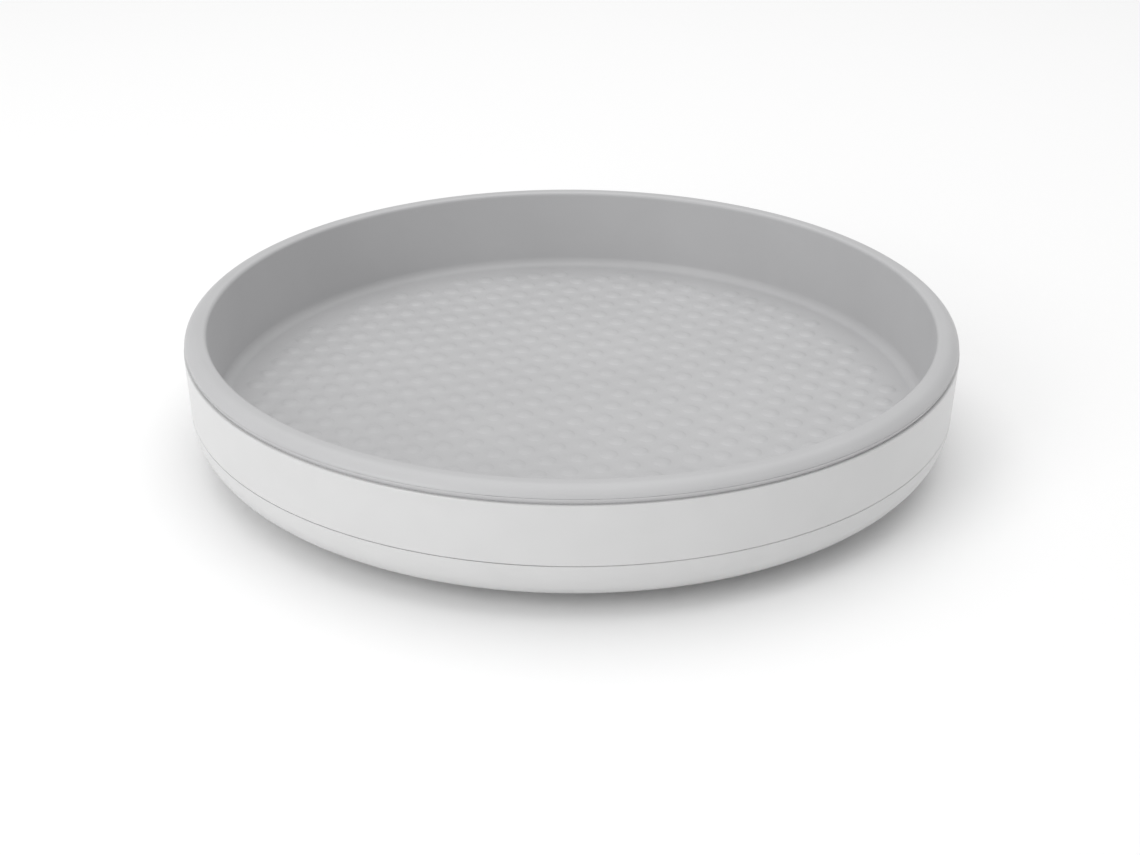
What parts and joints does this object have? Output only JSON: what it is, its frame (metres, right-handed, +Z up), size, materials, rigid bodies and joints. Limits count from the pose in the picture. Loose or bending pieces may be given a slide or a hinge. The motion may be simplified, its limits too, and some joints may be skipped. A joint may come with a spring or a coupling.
{
  "type": "lazy susan turntable",
  "caption": "Round free-spinning kitchen turntable: white shallow tray with a soft grey dotted lining and rounded rim, turning on a hidden ball race over a low padded base.",
  "frame": {"origin": "on the turning axis, at the level of the surface that the foot pads stand on", "axes": "+Z up along the turning axis; +X and +Y level, with screw places on +X and one foot pad on +Y"},
  "size_m": [0.3048, 0.3048, 0.0518],
  "materials": {
    "soft_grey": "matt soft-touch elastomer",
    "white_shell": "satin moulded white",
    "base_white": "moulded white",
    "race_acetal": "natural acetal",
    "cage_acetal": "black acetal",
    "ball_steel": "polished bearing steel",
    "zinc_steel": "bright zinc plate",
    "pad_black": "matt die-cut rubber",
    "adhesive": "clear acrylic adhesive"
  },
  "bodies": {
    "base": {"base_plate": "base_white", "lower_race": "race_acetal", "pivot_pin": "zinc_steel", "pivot_washer": "zinc_steel", "pivot_clip": "zinc_steel", "foot_pad_1": "pad_black", "foot_pad_2": "pad_black", "foot_pad_3": "pad_black", "foot_pad_4": "pad_black", "foot_pad_5": "pad_black", "pad_adhesive_1": "adhesive", "pad_adhesive_2": "adhesive", "pad_adhesive_3": "adhesive", "pad_adhesive_4": "adhesive", "pad_adhesive_5": "adhesive"},
    "tray": {"tray_insert": "soft_grey", "tray_shell": "white_shell", "underside_cover": "white_shell", "cover_screws": "zinc_steel", "upper_race": "race_acetal", "pivot_bush": "race_acetal"},
    "cage": {"ball_cage": "cage_acetal"},
    "ball_01": {"bearing_ball_01": "ball_steel"},
    "ball_02": {"bearing_ball_02": "ball_steel"},
    "ball_03": {"bearing_ball_03": "ball_steel"},
    "ball_04": {"bearing_ball_04": "ball_steel"},
    "ball_05": {"bearing_ball_05": "ball_steel"},
    "ball_06": {"bearing_ball_06": "ball_steel"},
    "ball_07": {"bearing_ball_07": "ball_steel"},
    "ball_08": {"bearing_ball_08": "ball_steel"},
    "ball_09": {"bearing_ball_09": "ball_steel"},
    "ball_10": {"bearing_ball_10": "ball_steel"},
    "ball_11": {"bearing_ball_11": "ball_steel"},
    "ball_12": {"bearing_ball_12": "ball_steel"}
  },
  "joints": [
    {"name": "tray_spin", "type": "hinge", "parent": "base", "child": "tray", "pos_m": [0, 0, 0], "axis": [0, 0, 1], "continuous": true},
    {"name": "cage_spin", "type": "hinge", "parent": "base", "child": "cage", "pos_m": [0, 0, 0.0086], "axis": [0, 0, 1], "continuous": true},
    {"name": "ball_roll_01", "type": "hinge", "parent": "cage", "child": "ball_01", "pos_m": [0.062, 0, 0.0086], "axis": [1, 0, 0], "continuous": true},
    {"name": "ball_roll_02", "type": "hinge", "parent": "cage", "child": "ball_02", "pos_m": [0.05369, 0.031, 0.0086], "axis": [0.866, 0.5, 0], "continuous": true},
    {"name": "ball_roll_03", "type": "hinge", "parent": "cage", "child": "ball_03", "pos_m": [0.031, 0.05369, 0.0086], "axis": [0.5, 0.866, 0], "continuous": true},
    {"name": "ball_roll_04", "type": "hinge", "parent": "cage", "child": "ball_04", "pos_m": [0, 0.062, 0.0086], "axis": [0, 1, 0], "continuous": true},
    {"name": "ball_roll_05", "type": "hinge", "parent": "cage", "child": "ball_05", "pos_m": [-0.031, 0.05369, 0.0086], "axis": [-0.5, 0.866, 0], "continuous": true},
    {"name": "ball_roll_06", "type": "hinge", "parent": "cage", "child": "ball_06", "pos_m": [-0.05369, 0.031, 0.0086], "axis": [-0.866, 0.5, 0], "continuous": true},
    {"name": "ball_roll_07", "type": "hinge", "parent": "cage", "child": "ball_07", "pos_m": [-0.062, 0, 0.0086], "axis": [-1, 0, 0], "continuous": true},
    {"name": "ball_roll_08", "type": "hinge", "parent": "cage", "child": "ball_08", "pos_m": [-0.05369, -0.031, 0.0086], "axis": [-0.866, -0.5, 0], "continuous": true},
    {"name": "ball_roll_09", "type": "hinge", "parent": "cage", "child": "ball_09", "pos_m": [-0.031, -0.05369, 0.0086], "axis": [-0.5, -0.866, 0], "continuous": true},
    {"name": "ball_roll_10", "type": "hinge", "parent": "cage", "child": "ball_10", "pos_m": [0, -0.062, 0.0086], "axis": [0, -1, 0], "continuous": true},
    {"name": "ball_roll_11", "type": "hinge", "parent": "cage", "child": "ball_11", "pos_m": [0.031, -0.05369, 0.0086], "axis": [0.5, -0.866, 0], "continuous": true},
    {"name": "ball_roll_12", "type": "hinge", "parent": "cage", "child": "ball_12", "pos_m": [0.05369, -0.031, 0.0086], "axis": [0.866, -0.5, 0], "continuous": true}
  ],
  "couplings": [
    {"joint": "cage_spin", "follows": "tray_spin", "ratio": 0.5},
    {"joint": "ball_roll_01", "follows": "tray_spin", "ratio": -13.018},
    {"joint": "ball_roll_02", "follows": "tray_spin", "ratio": -13.018},
    {"joint": "ball_roll_03", "follows": "tray_spin", "ratio": -13.018},
    {"joint": "ball_roll_04", "follows": "tray_spin", "ratio": -13.018},
    {"joint": "ball_roll_05", "follows": "tray_spin", "ratio": -13.018},
    {"joint": "ball_roll_06", "follows": "tray_spin", "ratio": -13.018},
    {"joint": "ball_roll_07", "follows": "tray_spin", "ratio": -13.018},
    {"joint": "ball_roll_08", "follows": "tray_spin", "ratio": -13.018},
    {"joint": "ball_roll_09", "follows": "tray_spin", "ratio": -13.018},
    {"joint": "ball_roll_10", "follows": "tray_spin", "ratio": -13.018},
    {"joint": "ball_roll_11", "follows": "tray_spin", "ratio": -13.018},
    {"joint": "ball_roll_12", "follows": "tray_spin", "ratio": -13.018}
  ]
}
